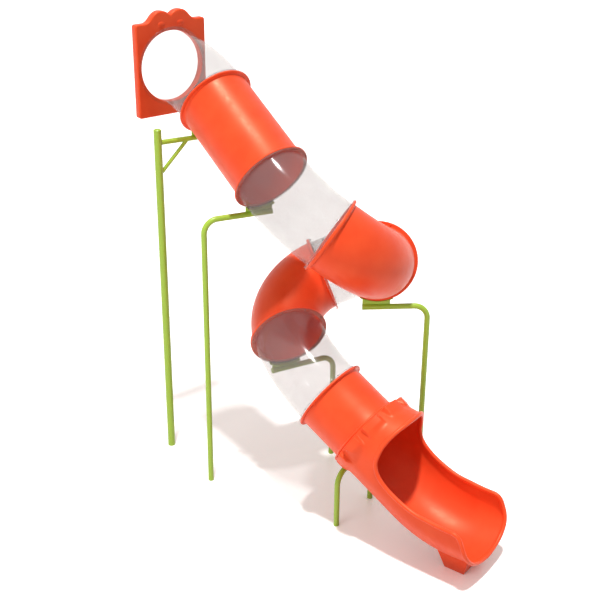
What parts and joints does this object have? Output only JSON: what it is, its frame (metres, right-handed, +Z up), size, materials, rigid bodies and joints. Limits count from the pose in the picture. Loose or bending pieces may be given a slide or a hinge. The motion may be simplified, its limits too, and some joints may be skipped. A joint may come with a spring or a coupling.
{
  "type": "spiral tube slide",
  "caption": "Enclosed playground tube slide of bolted red and clear sections that winds once round from an upright entrance panel to a hooded open exit chute, on bent steel posts.",
  "frame": {"origin": "on the floor below the middle of the whole slide outline", "axes": "+Z up, -Y the way the entrance panel faces and the slide first runs, +X to the left of a child starting down"},
  "size_m": [2.0926, 4.712, 5.0211],
  "materials": {
    "red_plastic": "rotomoulded polyethylene, satin, orange-red",
    "clear_plastic": "clear polycarbonate, smooth",
    "green_steel": "powder-coated steel tube, lime green, satin"
  },
  "bodies": {
    "root": {"clear_elbow_1": "clear_plastic", "red_tube_1": "red_plastic", "clear_elbow_2": "clear_plastic", "red_elbow_1": "red_plastic", "clear_elbow_3": "clear_plastic", "red_elbow_2": "red_plastic", "clear_elbow_4": "clear_plastic", "red_tube_2": "red_plastic", "entrance_panel": "red_plastic", "exit_section": "red_plastic", "exit_foot": "red_plastic", "tall_post": "green_steel", "tall_post_cap": "green_steel", "tall_post_arm": "green_steel", "tall_post_brace": "green_steel", "gusset_1": "green_steel", "strap_1": "green_steel", "bent_post_2": "green_steel", "gusset_2": "green_steel", "strap_2": "green_steel", "bent_post_3": "green_steel", "gusset_3": "green_steel", "strap_3": "green_steel", "bent_post_4": "green_steel", "gusset_4": "green_steel", "strap_4": "green_steel", "exit_frame": "green_steel", "gusset_5": "green_steel", "strap_5": "green_steel"}
  },
  "joints": []
}
